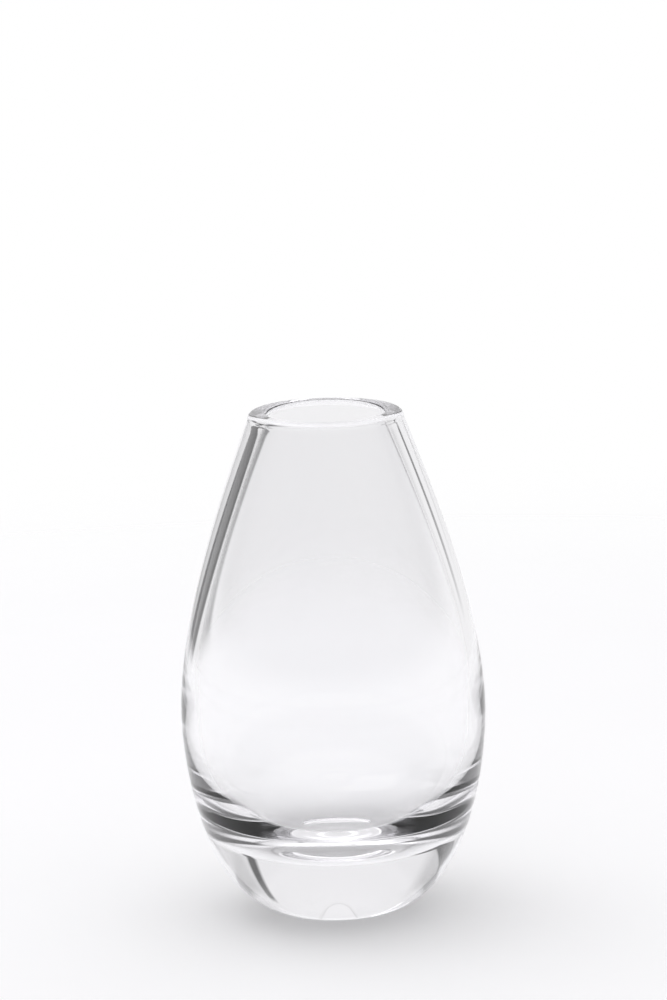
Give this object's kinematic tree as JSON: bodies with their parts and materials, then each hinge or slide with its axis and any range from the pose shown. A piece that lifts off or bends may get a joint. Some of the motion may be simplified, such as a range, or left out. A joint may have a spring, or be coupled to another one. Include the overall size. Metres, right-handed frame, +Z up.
{
  "type": "glass bud vase",
  "caption": "Clear glass bud vase, egg-shaped and widest low down, with a narrow open mouth, a rounded rim and a thick solid base on a small polished foot.",
  "frame": {"origin": "centre of the foot, on the table plane", "axes": "+Z up along the vase's axis; the vase is round about Z, so X and Y are free"},
  "size_m": [0.09, 0.09, 0.15],
  "materials": {
    "glass": "clear colourless glass, fire-polished rim, polished foot"
  },
  "bodies": {
    "root": {"vase": "glass"}
  },
  "joints": []
}
